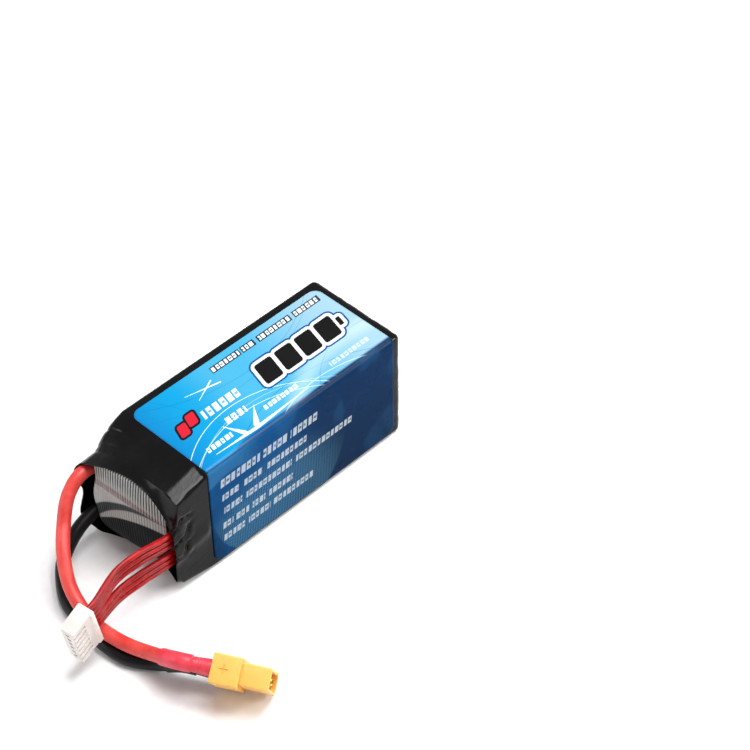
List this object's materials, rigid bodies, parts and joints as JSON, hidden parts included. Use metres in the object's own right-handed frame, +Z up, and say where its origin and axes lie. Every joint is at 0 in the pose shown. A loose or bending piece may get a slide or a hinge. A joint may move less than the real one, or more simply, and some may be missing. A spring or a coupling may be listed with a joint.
{
  "type": "lipo battery pack",
  "caption": "Shrink-wrapped lithium polymer battery pack: a block of stacked pouch cells with a wrap-around label, heavy main leads ending in a keyed power plug, and a flat balance lead.",
  "frame": {"origin": "middle of the flat face the pack rests on", "axes": "+Z up; +Y along the pack away from its leads, so the lead end faces -Y; the long labelled side faces +X"},
  "size_m": [0.0842, 0.1301, 0.0382],
  "materials": {
    "pouch_foil": "satin laminated foil",
    "foam": "dark grey closed-cell foam tape",
    "tab_nickel": "nickel-plated tab, spot welded",
    "circuit_board": "green solder mask",
    "insulation_paper": "grey insulating paper",
    "filament_tape": "translucent tape with glass filaments running from bottom to top",
    "shrink_wrap": "glossy black shrink film with fine crinkles",
    "label_film": "printed blue film, brighter on top and darker on the side",
    "red_silicone": "satin red silicone rubber",
    "black_silicone": "satin black silicone rubber",
    "red_sleeve": "pink-red shrink sleeve",
    "black_sleeve": "black shrink sleeve",
    "copper": "tinned copper strands",
    "yellow_nylon": "moulded yellow nylon",
    "gold": "gold-plated brass",
    "white_nylon": "moulded natural white nylon",
    "tin": "tin-plated crimp terminal"
  },
  "bodies": {
    "pack": {"cell_1": "pouch_foil", "cell_2": "pouch_foil", "cell_3": "pouch_foil", "cell_4": "pouch_foil", "cell_5": "pouch_foil", "cell_pad_1": "foam", "cell_pad_2": "foam", "cell_pad_3": "foam", "cell_pad_4": "foam", "tab_weld_1_2": "tab_nickel", "tab_weld_2_3": "tab_nickel", "tab_weld_3_4": "tab_nickel", "tab_weld_4_5": "tab_nickel", "pack_negative_tab": "tab_nickel", "pack_positive_tab": "tab_nickel", "balance_board": "circuit_board", "front_insulator": "insulation_paper", "rear_pad": "foam", "filament_tape": "filament_tape", "heat_shrink_wrap": "shrink_wrap", "label": "label_film", "red_lead_board_end": "red_silicone", "black_lead_board_end": "black_silicone", "red_lead_strands_board_end": "copper", "black_lead_strands_board_end": "copper"},
    "main_lead_near": {"red_lead_near": "red_silicone", "black_lead_near": "black_silicone"},
    "main_lead_far": {"red_lead_far": "red_silicone", "black_lead_far": "black_silicone"},
    "main_lead_last": {"red_lead_last": "red_silicone", "black_lead_last": "black_silicone"},
    "power_plug": {"power_plug_housing": "yellow_nylon", "power_plug_positive_socket": "gold", "power_plug_negative_socket": "gold", "red_lead_plug_end": "red_silicone", "black_lead_plug_end": "black_silicone", "red_lead_strands_plug_end": "copper", "black_lead_strands_plug_end": "copper", "red_lead_sleeve": "red_sleeve", "black_lead_sleeve": "black_sleeve"},
    "balance_lead": {"balance_wire_1": "red_silicone", "balance_wire_2": "red_silicone", "balance_wire_3": "red_silicone", "balance_wire_4": "red_silicone", "balance_wire_5": "red_silicone", "balance_wire_6": "red_silicone"},
    "balance_plug": {"balance_plug_housing": "white_nylon", "balance_terminal_1": "tin", "balance_terminal_2": "tin", "balance_terminal_3": "tin", "balance_terminal_4": "tin", "balance_terminal_5": "tin", "balance_terminal_6": "tin", "balance_wire_1_plug_end": "red_silicone", "balance_wire_2_plug_end": "red_silicone", "balance_wire_3_plug_end": "red_silicone", "balance_wire_4_plug_end": "red_silicone", "balance_wire_5_plug_end": "red_silicone", "balance_wire_6_plug_end": "red_silicone"}
  },
  "joints": [
    {"name": "main_lead_swing", "type": "hinge", "parent": "pack", "child": "main_lead_near", "pos_m": [-0.0149, -0.045, 0.019], "axis": [0, 0, 1], "range_deg": [0, 25]},
    {"name": "main_lead_curl", "type": "hinge", "parent": "main_lead_near", "child": "main_lead_far", "pos_m": [-0.0063, -0.0645, 0.009], "axis": [0, 0, 1], "range_deg": [0, 25]},
    {"name": "power_plug_turn", "type": "hinge", "parent": "main_lead_far", "child": "main_lead_last", "pos_m": [0.0225, -0.0695, 0.0042], "axis": [0, 0, -1], "range_deg": [-40, 60]},
    {"name": "power_plug_lift", "type": "hinge", "parent": "main_lead_last", "child": "power_plug", "pos_m": [0.031, -0.0668, 0.0069], "axis": [0.231, -0.973, 0], "range_deg": [0, 50]},
    {"name": "balance_lead_swing", "type": "hinge", "parent": "pack", "child": "balance_lead", "pos_m": [0.015, -0.0415, 0.0165], "axis": [0, 0, 1], "range_deg": [-12, 12]},
    {"name": "balance_plug_turn", "type": "hinge", "parent": "balance_lead", "child": "balance_plug", "pos_m": [0.016, -0.0656, 0.016], "axis": [0, 0, 1], "range_deg": [-25, 20]}
  ]
}
